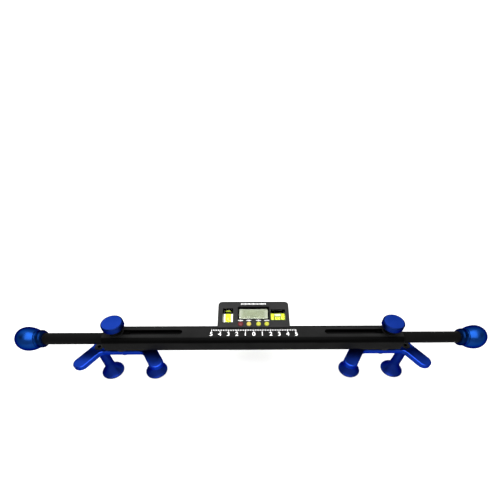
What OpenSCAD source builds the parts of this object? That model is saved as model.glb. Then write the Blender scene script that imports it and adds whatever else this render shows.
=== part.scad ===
// Digital steering wheel level.
// A slotted black bar carries a display module at its middle. A rod with a ball handle pulls out of
// each end of the bar. A claw hangs from a carriage under each slot: a knob locks it, its posts hook a
// steering wheel's rim, and at rest the posts are the four feet.
// Millimetres, +Z up, bar along X, module to the back (+Y). The origin lies on the surface that the
// feet stand on, below the middle of the bar's length and midway between front and back.

/* [Bar] */
// Length of the bar
bar_l = 354; // [330:1:420]
// Width of the bar, front to back
bar_w = 26.5; // [25:0.5:30]
// Height of the bar
bar_h = 22; // [21:0.5:26]
// Rounding of the bar's four long edges
bar_edge_r = 6.5; // [3:0.5:7]
// Wall between the bar's channel and its outside
bar_wall = 2.5; // [2:0.1:3]
// Rounding of the channel's four long edges
channel_r = 2; // [1:0.5:3]
// Width of the slots above and below the channel
slot_w = 7; // [6.5:0.5:8]
// From the middle of the bar to a slot's inner end
slot_inner = 84.5; // [70:0.5:110]
// From a slot's outer end to the end of the bar
slot_land = 12; // [12:0.5:16]
// Length of the bush in each end of the bar
bush_l = 9; // [7:0.5:9]

/* [Rods] */
// Diameter of the pull-out rods
rod_d = 14; // [12:0.5:14]
// Length of each rod
rod_l = 190; // [182:1:191]
// Rod that shows between the bar's end and the handle
rod_reach = 72; // [69.5:0.5:75]
// How far a rod can still be pushed in
rod_push = 68; // [40:1:68]
// How far a rod can still be pulled out
rod_pull = 12; // [5:1:16]
// Width of the guide groove under each rod
groove_w = 3; // [2.5:0.1:4]
// Depth of the guide groove
groove_depth = 1.5; // [1:0.1:2]
// Diameter of the guide screws' thread
guide_d = 4; // [3:0.5:5]
// Length of the carriages inward of their clamping axis
carriage_in = 14; // [12:0.5:30]

/* [Handles] */
// Largest diameter of the ball handles
handle_d = 29; // [26:0.1:29.5]
// Radius of the handle's outer shoulder
shoulder_r = 12.8; // [11:0.1:13.4]
// Radius of the handle's end cap
cap_r = 16.6; // [15:0.1:22]
// Radius of the handle's long side towards the collar
back_r = 22; // [20:1:40]
// Diameter of the handle's collar
collar_d = 21.3; // [19:0.1:23]
// Length of the handle's collar
collar_l = 7.5; // [6:0.1:12]
// Rounding of the collar's open end
collar_round = 3.5; // [1:0.1:4]
// Groove between the collar and the ball, radius of its section
neck_groove_r = 0.7; // [0.3:0.1:1.2]
// How deep the rod sits in the handle
socket_depth = 16; // [10:0.5:20]

/* [Knobs] */
// Diameter of the clamping knobs
knob_d = 25; // [20:0.5:27]
// Thickness of the knob's disc
knob_t = 7.4; // [6:0.1:9]
// Rounding of the disc's edges
knob_edge_r = 1.4; // [0.5:0.1:1.9]
// Diameter of the sleeve under the disc
sleeve_d = 15; // [11:0.5:18]
// Height of the sleeve under the disc
sleeve_h = 7.9; // [5:0.1:12]
// Diameter of the washer under the sleeve
knob_washer_d = 17; // [13:0.5:20]
// Thickness of the washer under the sleeve
knob_washer_t = 1; // [0.6:0.1:2]
// Diameter of the clamping stud
stud_d = 4; // [3:0.5:4.5]
// How far the stud reaches into the disc
stud_grip = 4.6; // [3:0.1:5]

/* [Claws] */
// Gap between the bar's underside and the claw plate
plate_gap = 4; // [3.8:0.1:8]
// Thickness of the claw plate
plate_t = 6; // [4.5:0.1:8]
// Width of the claw plate
plate_w = 18; // [16:0.5:22]
// From the swivel axis to each post
post_x = 29.5; // [26:0.5:36]
// Length of the fingers, from the post to the middle of the tip
finger_l = 28; // [18:0.5:40]
// Width of the fingers
finger_w = 17; // [12:0.5:18]
// Bend of the fingers away from the plate's line, in degrees
finger_bend = 58; // [45:1:75]
// Fillet in the crook between plate and finger
crook_r = 5; // [2:0.5:8]
// Diameter of the spacer between bar and plate
spacer_d = 18; // [14:0.5:24]
// Diameter of the swivel screw's shoulder
swivel_d = 6; // [5:0.5:6.5]
// Diameter of the swivel screw's thread
swivel_thread_d = 4; // [3:0.5:4.5]
// Diameter of the swivel screw's head
swivel_head_d = 12; // [9:0.5:16]
// Height of the swivel screw's head
swivel_head_h = 4; // [3:0.5:6]
// Thickness of the friction washer under the plate
friction_washer_t = 0.8; // [0.5:0.1:1.5]
// Hex sockets of the swivel and post screws, across flats
hex_af = 4; // [3:0.5:5]
// Depth of the hex sockets
hex_deep = 2.2; // [1.5:0.1:2.5]

/* [Posts] */
// Length of the posts
post_l = 46; // [40:0.5:60]
// Diameter of a post's neck
neck_d = 12; // [10:0.5:16]
// Diameter of a post's flared foot
flare_d = 28.4; // [24:0.2:34]
// Radius of the trumpet curve between neck and foot
flare_curve_r = 24; // [12:0.5:30]
// Thickness of the foot's round rim
rim_t = 2.4; // [1.5:0.1:4]
// Thread diameter of the screws that hold the posts
post_screw_d = 6; // [4:0.5:6]
// Head diameter of those screws
post_screw_head_d = 11.2; // [10:0.1:12]
// How far those screws reach into the posts
post_screw_grip = 14; // [8:0.5:20]
// Straight edge of those screws' heads
head_land = 0.3; // [0.1:0.1:0.5]

/* [Module case] */
// Width of the display module
case_w = 86.5; // [85:0.5:100]
// Length of the module's face, from its lip to its far end
case_h = 37; // [36:0.5:44]
// Depth of the module behind its face
case_depth = 21; // [20:0.5:24]
// Rounding of the face's two far corners
case_corner_r = 5; // [3:0.5:6]
// Tilt of the module's face towards the reader, in degrees
face_tilt = 13; // [10:0.5:14]
// How far the module's lip laps over the bar from the bar's back
lip_lap = 8.8; // [8:0.1:9.5]
// Height of the lip's edge above the bar's face
lip_rise = 3; // [3:0.1:4]
// Wall of the module's case
case_wall = 2; // [1.5:0.1:2.5]
// Thickness of the module's face
face_t = 2.5; // [2:0.1:3]
// From the face to the joint between front and rear case
split_depth = 10.5; // [10:0.1:13]
// Where the hollow of the module begins, from the lip
hollow_s = 8.5; // [8.2:0.1:9]

/* [Display and vials] */
// Width of the display's opening
lens_w = 38.3; // [34:0.1:39]
// Height of the display's opening
lens_h = 18.3; // [14:0.1:19]
// Middle of the display, from the lip
lens_s = 20.2; // [19.5:0.1:21]
// How far the display window lies below the face
lens_recess = 0.8; // [0.4:0.1:1.2]
// Margin of the display panel behind the window's edge
panel_margin = 0.8; // [0.4:0.1:1]
// Thickness of the display panel
panel_t = 3.2; // [2:0.1:4]
// Width of the upright vial
plumb_w = 12.2; // [8:0.1:13]
// Height of the upright vial
plumb_h = 19.4; // [14:0.1:20]
// From the module's left side to the middle of the upright vial
plumb_side = 12.1; // [10:0.1:13]
// Middle of the upright vial, from the lip
plumb_s = 17.2; // [17:0.1:20]
// Width of the level vial
level_w = 17.4; // [12:0.1:17.8]
// Height of the level vial
level_h = 14.8; // [9:0.1:16]
// From the module's right side to the middle of the level vial
level_side = 13.6; // [11:0.1:14]
// Middle of the level vial, from the lip
level_s = 17.8; // [17:0.1:20]
// Least gap between the vials and the pieces beside them
vial_gap = 0.8; // [0.5:0.1:1]
// How far the vials lie below the case's faces
vial_recess = 0.8; // [0.2:0.1:1.5]

/* [Buttons] */
// Diameter of the power button
power_d = 6.2; // [5:0.1:6.4]
// Diameter of the other buttons
button_d = 5.4; // [4:0.1:6]
// Middle of the buttons, from the lip
button_s = 4.6; // [4.5:0.1:4.8]
// From the module's middle to the inner buttons
button_x_inner = 5.8; // [5:0.1:7]
// From the module's middle to the outer buttons
button_x_outer = 15.6; // [14.5:0.1:16.5]
// How far the buttons stand out of the face
button_rise = 1.2; // [0.8:0.1:2]
// How far a button travels
button_travel = 0.5; // [0.3:0.1:0.6]
// Face left above the keypad
key_face_t = 1.2; // [1:0.1:1.4]
// Thickness of the flange under each button
button_flange_t = 0.6; // [0.4:0.1:0.8]
// Rim of the flange around each button
button_flange_rim = 0.4; // [0.3:0.1:0.5]
// Thickness of the keypad membrane
keypad_t = 0.4; // [0.3:0.1:0.5]
// Pocket to the left and right of the outer buttons' flanges
key_pocket_side = 2; // [1:0.1:3]
// Where the keypad begins, from the lip
keypad_s = 1.7; // [1.5:0.1:2]

/* [Electronics] */
// Thickness of the circuit board
board_t = 1.6; // [0.8:0.1:2]
// Diameter of the coin cell
cell_d = 20; // [16:0.5:21]
// Thickness of the coin cell
cell_t = 3.2; // [2:0.1:4]
// Diameter of the battery cover
cover_d = 24; // [22:0.5:25]
// Width of the coin slot in the battery cover
coin_slot_w = 1.8; // [1:0.1:3]
// Length of the coin slot in the battery cover
coin_slot_l = 17; // [10:0.5:20]
// Depth of the coin slot in the battery cover
coin_slot_depth = 1; // [0.5:0.1:1.2]
// Thickness of the sheet metal of the cell's contact
contact_t = 0.4; // [0.2:0.1:0.8]
// Width of the cell's contact
contact_w = 6; // [4:0.5:7]
// From the module's middle to the tilt sensor
sensor_x = 8.5; // [8.5:0.5:14]
// Length of the tilt sensor, along the module
sensor_l = 8; // [6:0.5:9]
// Height of the tilt sensor above the board
sensor_h = 3; // [1:0.5:4]
// Diameter of the screws that close the case
case_screw_d = 2.5; // [2:0.1:3]
// Head diameter of the screws that close the case
case_screw_head_d = 4.4; // [3.8:0.1:5]
// How far those screws reach past the case's joint
case_screw_reach = 6; // [4:0.5:7]
// Wall of the bosses around those screws
boss_wall = 0.5; // [0.5:0.1:1]
// From the case's wall to the heads of those screws
screw_edge = 0.8; // [0.5:0.1:1]
// Thread diameter of the screws that hold the module on the bar
mount_screw_d = 3; // [2.5:0.1:3.5]
// Head diameter of those screws
mount_screw_head_d = 5.4; // [4.5:0.1:6]
// Head height of those screws
mount_head_h = 1.8; // [1.2:0.1:2.4]
// From the module's middle to each of those screws
mount_screw_x = 16; // [14:0.5:17]

/* [Fits] */
// Radial running clearance of rods, swivels and studs
run_gap = 0.05; // [0.02:0.01:0.08]
// Clearance of fixed pieces in their seats
seat_gap = 0.05; // [0.02:0.01:0.1]
// Clearance of the sliding carriage in the channel
slide_gap = 0.1; // [0.05:0.01:0.2]
// Clearance of the carriage's keys in the slots
key_gap = 0.2; // [0.1:0.05:0.4]
// Clearance at the ends of a travel
end_gap = 0.5; // [0.3:0.1:1]
// Clearance beyond the ends of threads
thread_end_gap = 0.4; // [0.2:0.1:0.6]
// Room around sunk screw heads
head_room = 0.3; // [0.2:0.1:0.5]
// Room around the flanges of the buttons
flange_room = 0.3; // [0.2:0.1:0.5]
// Clearance around buttons and the battery cover
button_gap = 0.15; // [0.1:0.01:0.25]

/* [Hidden] */
$fn = 64;
eps = 0.01;
cut_past = 1;

// Levels, measured from the bar's centre line
bar_top = bar_h / 2;
plate_top = -bar_top - plate_gap;
plate_low = plate_top - plate_t;
bar_z = post_l - plate_low;
channel_w = bar_w - 2 * bar_wall;
channel_h = bar_h - 2 * bar_wall;

// Carriage: a key in each slot stops it at the slot's ends
key_d = slot_w - 2 * key_gap;
key_top = bar_top - key_gap;
carriage_x = bar_l / 2 - slot_land - key_gap - key_d / 2;
carriage_out = bar_l / 2 - bush_l - end_gap - carriage_x;
rod_bore_r = rod_d / 2 + run_gap;
stud_low = rod_bore_r + thread_end_gap;

// Knob, measured from the bar's face
washer_low = bar_top + slide_gap;
sleeve_low = washer_low + knob_washer_t + slide_gap;
disc_low = sleeve_low + sleeve_h;

// Rod and its guide
handle_x = bar_l / 2 + rod_reach;
guide_x = bar_l / 2 - bush_l / 2;
guide_tip_d = groove_w - 2 * key_gap;
guide_tip_z = -(rod_d / 2 - groove_depth + key_gap);
guide_neck_z = -(rod_bore_r + thread_end_gap);

// Handle profile: two arcs that meet the end cap's arc without a corner
widest = collar_l + sqrt(back_r * back_r - pow(back_r - (handle_d - collar_d) / 2, 2));
shoulder_off = handle_d / 2 - shoulder_r;
cap_back = sqrt(pow(cap_r - shoulder_r, 2) - shoulder_off * shoulder_off);
cap_share = cap_r / (cap_r - shoulder_r);
cap_join = [shoulder_off * cap_share, widest - cap_back + cap_back * cap_share];

// The crook's arc cuts into its two sides by this much, so that it crosses them cleanly
crook_bite = 0.03;

// Post profile
flare_join = flare_d / 2 - rim_t / 2;
flare_h = sqrt(flare_curve_r * flare_curve_r - pow(flare_curve_r - flare_join + neck_d / 2, 2));
head_cone_h = (post_screw_head_d - post_screw_d) / 2;

// Module frame: x along the bar, s along the face from the lip, z out of the face
lip_y = bar_w / 2 - lip_lap;
lip_z = bar_top + lip_rise;
button_x = [-button_x_outer, -button_x_inner, button_x_inner, button_x_outer];
flange_top = -key_face_t - seat_gap;
flange_low = flange_top - button_flange_t;
keypad_top = flange_low - button_travel - seat_gap;
flange_r = power_d / 2 + button_flange_rim;
key_pocket_x = button_x_outer + flange_r + key_pocket_side;
key_pocket_low = button_s - flange_r - flange_room;
key_pocket_high = max(hollow_s, button_s + flange_r + flange_room);
panel_front = -face_t - seat_gap;
board_front = panel_front - panel_t - seat_gap;
board_back = board_front - board_t;
board_w = lens_w + 2 * panel_margin;
board_h = lens_h + 2 * panel_margin;
plumb_x = max(case_w / 2 - plumb_side, key_pocket_x + vial_gap + plumb_w / 2);
level_x = max(case_w / 2 - level_side, board_w / 2 + vial_gap + level_w / 2);
rear_inner = -case_depth + case_wall;
cell_front = rear_inner + seat_gap + cell_t;
case_screw_x = case_w / 2 - case_wall - case_screw_head_d / 2 - screw_edge;
case_screw_s = case_h - case_wall - case_screw_head_d / 2 - screw_edge;
screw_boss_d = case_screw_head_d + 2 * boss_wall;
drive_share = 0.8;

// Where the module's wall is faced off for the heads of the mounting screws
mount_seat_y = bar_w / 2 + case_wall;

// The middle of the whole object's depth
front_y = -(finger_l * sin(finger_bend) + finger_w / 2);
back_y = lip_y + case_h * cos(face_tilt) + case_depth * sin(face_tilt);
bar_y = -(front_y + back_y) / 2;

// Frames

// From the bar's centre line to the part's own origin
module at_bar() {
    translate([0, bar_y, bar_z]) children();
}

// One side of the bar: the right is drawn, the left is its mirror image
module on_side(left) {
    at_bar() mirror([left ? 1 : 0, 0, 0]) children();
}

// The swivel and clamping axis of a carriage
module at_carriage(left) {
    on_side(left) translate([carriage_x, 0, 0]) children();
}

// The module's face, in the bar's frame
module at_face() {
    translate([0, lip_y, lip_z]) rotate([face_tilt, 0, 0]) children();
}

// A shape turned about Z laid along X
module along_x() {
    rotate([0, 90, 0]) children();
}

// Shared outlines

module rounded_rect(w, h, r) {
    square([w - 2 * r, h], center = true);
    square([w, h - 2 * r], center = true);
    for (x = [-1, 1], y = [-1, 1])
        translate([x * (w / 2 - r), y * (h / 2 - r)]) circle(r);
}

// A bar section pulled along X
module bar_prism(length, w, h, r) {
    rotate([90, 0, 90]) linear_extrude(length, center = true) rounded_rect(w, h, r);
}

// The space that the bar takes up, grown by a gap
module bar_space(gap) {
    bar_prism(case_w + 2 * cut_past, bar_w + 2 * gap, bar_h + 2 * gap, bar_edge_r + gap);
}

// The module's outline on its face, drawn in by an inset, starting at s = bottom
module case_outline(inset, bottom) {
    r = case_corner_r - inset;
    corner_x = case_w / 2 - case_corner_r;
    corner_s = case_h - case_corner_r;
    translate([-case_w / 2 + inset, bottom]) square([case_w - 2 * inset, corner_s - bottom]);
    translate([-corner_x, bottom]) square([2 * corner_x, case_h - inset - bottom]);
    for (x = [-1, 1])
        translate([x * corner_x, corner_s]) circle(r);
}

// A slab of the module between two depths below the face
module case_slab(top, low, inset, bottom) {
    translate([0, 0, low]) linear_extrude(top - low) case_outline(inset, bottom);
}

// A box centred on a point of the module's face, between two depths
module face_box(x, s, w, h, top, low) {
    translate([x - w / 2, s - h / 2, low]) cube([w, h, top - low]);
}

// A round hole or pin square to the module's face, between two depths
module face_round(x, s, d, top, low) {
    translate([x, s, low]) cylinder(h = top - low, d = d);
}

// Bar

module bar() {
    color("#1c1c1e") at_bar() difference() {
        bar_prism(bar_l, bar_w, bar_h, bar_edge_r);
        bar_prism(bar_l + 2 * cut_past, channel_w, channel_h, channel_r);
        for (side = [-1, 1]) {
            slot_cut(side);
            translate([side * guide_x, 0, -bar_h]) cylinder(h = bar_h, d = guide_d + 2 * seat_gap);
            translate([side * mount_screw_x, channel_w / 2 - cut_past, 0])
                rotate([-90, 0, 0]) cylinder(h = bar_w, d = mount_screw_d + 2 * seat_gap);
        }
    }
}

// One slot, through the walls above and below the channel
module slot_cut(side) {
    first = slot_inner + slot_w / 2;
    last = bar_l / 2 - slot_land - slot_w / 2;
    translate([side > 0 ? first : -last, -slot_w / 2, -bar_h]) cube([last - first, slot_w, 2 * bar_h]);
    for (x = [first, last])
        translate([side * x, 0, -bar_h]) cylinder(h = 2 * bar_h, d = slot_w);
}

// Bush in the end of the bar, which guides the rod
module end_bush(left) {
    color("#2b2b2d") on_side(left) difference() {
        translate([bar_l / 2 - bush_l / 2, 0, 0])
            bar_prism(bush_l, channel_w - 2 * seat_gap, channel_h - 2 * seat_gap, channel_r);
        along_x() cylinder(h = bar_l, r = rod_bore_r);
        translate([guide_x, 0, -bar_h]) cylinder(h = bar_h, d = guide_d + 2 * seat_gap);
    }
}

// Set screw that holds the bush and guides the rod's groove
module guide_screw(left) {
    low = -bar_top + key_gap;
    color("#3a3a3c") on_side(left) translate([guide_x, 0, 0]) difference() {
        union() {
            translate([0, 0, low]) cylinder(h = guide_neck_z - low, d = guide_d);
            translate([0, 0, guide_neck_z - eps])
                cylinder(h = guide_tip_z - guide_neck_z + eps, d = guide_tip_d);
        }
        translate([0, 0, low - eps]) cylinder(h = hex_deep, d = guide_d / 2, $fn = 6);
    }
}

module left_end_bush() { end_bush(true); }
module right_end_bush() { end_bush(false); }
module left_guide_screw() { guide_screw(true); }
module right_guide_screw() { guide_screw(false); }

// Rods and handles

// Pull-out rod with a closed guide groove underneath
module rod(left) {
    end_x = handle_x + socket_depth - seat_gap;
    groove_in = guide_x - rod_pull;
    groove_out = guide_x + rod_push;
    groove_top = -(rod_d / 2 - groove_depth);
    color("#19191b") on_side(left) difference() {
        translate([end_x - rod_l, 0, 0]) along_x() cylinder(h = rod_l, d = rod_d);
        translate([groove_in, -groove_w / 2, -rod_d])
            cube([groove_out - groove_in, groove_w, rod_d + groove_top]);
        for (x = [groove_in, groove_out])
            translate([x, 0, -rod_d]) cylinder(h = rod_d + groove_top, d = groove_w);
    }
}

// Half section of the handle: collar, long side, shoulder and end cap
module handle_section() {
    difference() {
        union() {
            translate([0, collar_round]) square([collar_d / 2, collar_l - collar_round]);
            square([collar_d / 2 - collar_round, collar_round + eps]);
            translate([collar_d / 2 - collar_round, collar_round]) circle(collar_round);
            intersection() {
                translate([handle_d / 2 - back_r, widest]) circle(back_r, $fn = 128);
                translate([0, collar_l - eps]) square([handle_d, widest - collar_l + eps]);
            }
            intersection() {
                translate([shoulder_off, widest]) circle(shoulder_r);
                translate([0, widest - eps]) square([handle_d, handle_d]);
            }
            translate([0, widest - eps]) square([cap_join[0], cap_join[1] - widest + eps]);
            intersection() {
                translate([0, widest - cap_back]) circle(cap_r);
                translate([0, cap_join[1] - eps]) square([cap_join[0], cap_r]);
            }
        }
        translate([collar_d / 2, collar_l]) circle(neck_groove_r);
    }
}

module ball_handle(left) {
    color("#1a4fd0") on_side(left) translate([handle_x, 0, 0]) along_x() difference() {
        rotate_extrude() handle_section();
        translate([0, 0, -eps]) cylinder(h = socket_depth, r = rod_d / 2 + seat_gap);
    }
}

module left_rod() { rod(true); }
module right_rod() { rod(false); }
module left_ball_handle() { ball_handle(true); }
module right_ball_handle() { ball_handle(false); }

// Carriages and knobs

// Block that slides in the channel, with a key in each slot
module carriage(left) {
    w = channel_w - 2 * slide_gap;
    h = channel_h - 2 * slide_gap;
    color("#1f1f21") at_carriage(left) difference() {
        union() {
            translate([(carriage_out - carriage_in) / 2, 0, 0])
                bar_prism(carriage_in + carriage_out, w, h, channel_r);
            translate([0, 0, -key_top]) cylinder(h = 2 * key_top, d = key_d);
        }
        translate([-bar_l / 2, 0, 0]) along_x() cylinder(h = bar_l, r = rod_bore_r);
        cylinder(h = bar_h, r = stud_d / 2 + run_gap);
        translate([0, 0, -bar_h]) cylinder(h = bar_h, r = swivel_thread_d / 2 + seat_gap);
    }
}

// Clamping knob: a disc with a blind hole for the stud
module knob(left) {
    color("#2146c0") at_carriage(left) translate([0, 0, disc_low]) difference() {
        rotate_extrude() disc_section();
        translate([0, 0, -eps]) cylinder(h = stud_grip + seat_gap, r = stud_d / 2 + seat_gap);
    }
}

// Sleeve on the stud, which keeps the disc clear of the bar
module knob_sleeve(left) {
    color("#1f1f21") at_carriage(left) translate([0, 0, sleeve_low]) difference() {
        cylinder(h = sleeve_h - seat_gap, d = sleeve_d);
        translate([0, 0, -eps]) cylinder(h = sleeve_h, r = stud_d / 2 + seat_gap);
    }
}

// Half section of the knob's disc, with rounded edges
module disc_section() {
    r = knob_edge_r;
    square([knob_d / 2 - r, knob_t]);
    translate([0, r]) square([knob_d / 2, knob_t - 2 * r]);
    for (y = [r, knob_t - r])
        translate([knob_d / 2 - r, y]) circle(r);
}

// Stud that is fixed in the knob and turns in the carriage's thread
module knob_stud(left) {
    color("#b9bbbe") at_carriage(left)
        translate([0, 0, stud_low]) cylinder(h = disc_low + stud_grip - stud_low - eps, d = stud_d);
}

module knob_washer(left) {
    color("#242426") at_carriage(left) translate([0, 0, washer_low]) difference() {
        cylinder(h = knob_washer_t, d = knob_washer_d);
        translate([0, 0, -eps]) cylinder(h = knob_washer_t + 2 * eps, r = stud_d / 2 + run_gap);
    }
}

module left_carriage() { carriage(true); }
module right_carriage() { carriage(false); }
module left_knob_sleeve() { knob_sleeve(true); }
module right_knob_sleeve() { knob_sleeve(false); }
module left_knob() { knob(true); }
module right_knob() { knob(false); }
module left_knob_stud() { knob_stud(true); }
module right_knob_stud() { knob_stud(false); }
module left_knob_washer() { knob_washer(true); }
module right_knob_washer() { knob_washer(false); }

// Claws

// One finger, outward of the post at side = 1 or inward at side = -1
module finger_outline(side) {
    s = sin(finger_bend);
    c = cos(finger_bend);
    reach = finger_w / 2 + crook_r;
    t = (plate_w / 2 + crook_r - c * reach) / s;
    crook = [post_x - s * reach + t * c, -plate_w / 2 - crook_r];
    on_plate = [crook[0], -plate_w / 2];
    on_finger = crook + crook_r * [s, c];
    mirror([side > 0 ? 0 : 1, 0]) {
        translate([post_x, 0]) rotate(-finger_bend) {
            translate([0, -finger_w / 2]) square([finger_l, finger_w]);
            translate([finger_l, 0]) circle(d = finger_w);
        }
        difference() {
            polygon([on_plate, on_finger, [post_x, 0]]);
            translate(crook) circle(crook_r + crook_bite);
        }
    }
}

module claw_outline() {
    square([2 * post_x, plate_w], center = true);
    for (side = [-1, 1]) {
        translate([side * post_x, 0]) circle(d = plate_w);
        finger_outline(side);
    }
}

// Flat-head screw, or its hole when grown by a gap, with its head's edge reaching up to z = top
module flat_head(gap, top, shank_l) {
    r = post_screw_d / 2 + gap;
    head_r = post_screw_head_d / 2 + gap;
    cone_top = -head_land - gap;
    rotate_extrude() polygon([
        [0, top], [head_r, top], [head_r, cone_top], [r, cone_top - head_cone_h], [r, -shank_l], [0, -shank_l]
    ]);
}

module claw_plate(left) {
    color("#1d44bb") at_carriage(left) difference() {
        translate([0, 0, plate_low]) linear_extrude(plate_t) claw_outline();
        translate([0, 0, plate_low - eps]) cylinder(h = plate_t + 2 * eps, r = swivel_d / 2 + run_gap);
        for (side = [-1, 1])
            translate([side * post_x, 0, plate_top]) flat_head(seat_gap, cut_past, plate_t + cut_past);
    }
}

module post_screws(left) {
    color("#222224") at_carriage(left) for (side = [-1, 1])
        translate([side * post_x, 0, plate_top - seat_gap]) difference() {
            flat_head(0, 0, plate_t + post_screw_grip);
            translate([0, 0, -hex_deep]) cylinder(h = bar_h, d = hex_af / cos(30), $fn = 6);
        }
}

// Half section of a trumpet post, its foot at y = 0
module post_section() {
    square([flare_join, rim_t]);
    translate([flare_join, rim_t / 2]) circle(d = rim_t);
    difference() {
        square([flare_join, rim_t + flare_h]);
        translate([neck_d / 2 + flare_curve_r, rim_t + flare_h]) circle(flare_curve_r, $fn = 96);
    }
    square([neck_d / 2, post_l]);
}

module post(left, side) {
    color("#15318f") at_carriage(left) translate([side * post_x, 0, -bar_z]) difference() {
        rotate_extrude() post_section();
        translate([0, 0, post_l - post_screw_grip - end_gap])
            cylinder(h = post_screw_grip + end_gap + eps, r = post_screw_d / 2 + seat_gap);
    }
}

// Shoulder screw that the claw swivels on, fixed in the carriage
module swivel_screw(left) {
    head_top = plate_low - friction_washer_t - 2 * seat_gap;
    color("#6b6e72") at_carriage(left) difference() {
        union() {
            translate([0, 0, -key_top]) cylinder(h = key_top - stud_low, d = swivel_thread_d);
            translate([0, 0, head_top - eps]) cylinder(h = -key_top - head_top + eps, d = swivel_d);
            translate([0, 0, head_top - swivel_head_h]) cylinder(h = swivel_head_h, d = swivel_head_d);
        }
        translate([0, 0, head_top - swivel_head_h - eps])
            cylinder(h = hex_deep, d = hex_af / cos(30), $fn = 6);
    }
}

// A ring around the swivel screw's shoulder
module shoulder_ring(d, top, low) {
    translate([0, 0, low]) difference() {
        cylinder(h = top - low, d = d);
        translate([0, 0, -eps]) cylinder(h = top - low + 2 * eps, r = swivel_d / 2 + seat_gap);
    }
}

module claw_spacer(left) {
    color("#202022") at_carriage(left)
        shoulder_ring(spacer_d, -bar_top - slide_gap, plate_top + slide_gap);
}

module friction_washer(left) {
    color("#9a9da1") at_carriage(left)
        shoulder_ring(swivel_head_d, plate_low - seat_gap, plate_low - seat_gap - friction_washer_t);
}

module left_claw_plate() { claw_plate(true); }
module right_claw_plate() { claw_plate(false); }
module left_outer_post() { post(true, 1); }
module left_inner_post() { post(true, -1); }
module right_outer_post() { post(false, 1); }
module right_inner_post() { post(false, -1); }
module left_post_screws() { post_screws(true); }
module right_post_screws() { post_screws(false); }
module left_swivel_screw() { swivel_screw(true); }
module right_swivel_screw() { swivel_screw(false); }
module left_claw_spacer() { claw_spacer(true); }
module right_claw_spacer() { claw_spacer(false); }
module left_friction_washer() { friction_washer(true); }
module right_friction_washer() { friction_washer(false); }

// Display module

// The two windows that the vials fill, right through the case
module vial_windows() {
    face_box(-plumb_x, plumb_s, plumb_w, plumb_h, cut_past, -case_depth - cut_past);
    face_box(level_x, level_s, level_w, level_h, cut_past, -case_depth - cut_past);
}

module module_front_case() {
    color("#39393b") at_bar() difference() {
        at_face() difference() {
            case_slab(0, -split_depth, 0, 0);
            difference() {
                case_slab(-face_t, -split_depth - eps, case_wall, hollow_s);
                case_screw_bosses();
            }
            vial_windows();
            face_box(0, lens_s, lens_w, lens_h, cut_past, -case_depth);
            face_box(0, (key_pocket_low + key_pocket_high) / 2, 2 * key_pocket_x,
                key_pocket_high - key_pocket_low + 2 * eps, -key_face_t, -case_depth);
            for (i = [0 : 3])
                face_round(button_x[i], button_s, (i == 0 ? power_d : button_d) + 2 * button_gap,
                    cut_past, -case_depth);
            case_screw_shanks(case_screw_d + 2 * seat_gap, -split_depth + case_screw_reach + seat_gap);
        }
        bar_space(seat_gap);
    }
}

// Bosses in the far corners that the case screws go into
module case_screw_bosses() {
    for (x = [-1, 1])
        face_round(x * case_screw_x, case_screw_s, screw_boss_d, 0, -case_depth);
}

module case_screw_shanks(d, top) {
    for (x = [-1, 1])
        face_round(x * case_screw_x, case_screw_s, d, top, -case_depth - cut_past);
}

module module_rear_case() {
    color("#303032") at_bar() difference() {
        at_face() difference() {
            case_slab(-split_depth, -case_depth, 0, 0);
            difference() {
                case_slab(-split_depth + eps, rear_inner, case_wall, hollow_s);
                case_screw_bosses();
            }
            vial_windows();
            face_round(0, lens_s, cover_d + 2 * button_gap, 0, -case_depth - cut_past);
            case_screw_shanks(case_screw_d + 2 * seat_gap, 0);
            case_screw_heads(seat_gap, -case_depth - cut_past);
        }
        bar_space(seat_gap);
        for (x = [-1, 1])
            translate([x * mount_screw_x, 0, 0]) rotate([-90, 0, 0])
                cylinder(h = mount_seat_y + cut_past, d = mount_screw_d + 2 * seat_gap);
        mount_head_space();
    }
}

// Room for the heads of the mounting screws
module mount_head_space() {
    for (x = [-1, 1])
        translate([x * mount_screw_x, mount_seat_y - seat_gap, 0]) rotate([-90, 0, 0])
            cylinder(h = case_depth / 2, d = mount_screw_head_d + 2 * head_room);
}

module mount_screws() {
    tip_y = channel_w / 2 + key_gap;
    color("#9a9da1") at_bar() for (x = [-1, 1])
        translate([x * mount_screw_x, 0, 0]) rotate([-90, 0, 0]) difference() {
            union() {
                translate([0, 0, tip_y]) cylinder(h = mount_seat_y - tip_y + eps, d = mount_screw_d);
                translate([0, 0, mount_seat_y]) cylinder(h = mount_head_h, d = mount_screw_head_d);
            }
            translate([0, 0, mount_seat_y + mount_head_h / 2])
                cylinder(h = mount_head_h, d = mount_screw_d * drive_share, $fn = 6);
        }
}

// Heads of the case screws, sunk in the back of the case
module case_screw_heads(gap, low) {
    for (x = [-1, 1])
        face_round(x * case_screw_x, case_screw_s, case_screw_head_d + 2 * gap, -case_depth + case_wall, low);
}

module case_screws() {
    color("#77797d") at_bar() at_face() difference() {
        union() {
            intersection() {
                case_screw_shanks(case_screw_d, -split_depth + case_screw_reach);
                case_slab(0, -case_depth + case_wall - eps, 0, 0);
            }
            case_screw_heads(0, -case_depth + seat_gap);
        }
        for (x = [-1, 1])
            translate([x * case_screw_x, case_screw_s, -case_depth])
                cylinder(h = case_wall / 2, d = case_screw_d * drive_share, $fn = 6);
    }
}

module lcd_window() {
    color("#c9d0c0") at_bar() at_face()
        face_box(0, lens_s, lens_w - 2 * seat_gap, lens_h - 2 * seat_gap, -lens_recess, -face_t);
}

module lcd_panel() {
    color("#bcc7a4") at_bar() at_face()
        face_box(0, lens_s, board_w, board_h, panel_front, panel_front - panel_t);
}

module circuit_board() {
    color("#1f5b33") at_bar() at_face()
        face_box(0, lens_s, board_w, board_h, board_front, board_back);
}

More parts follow.
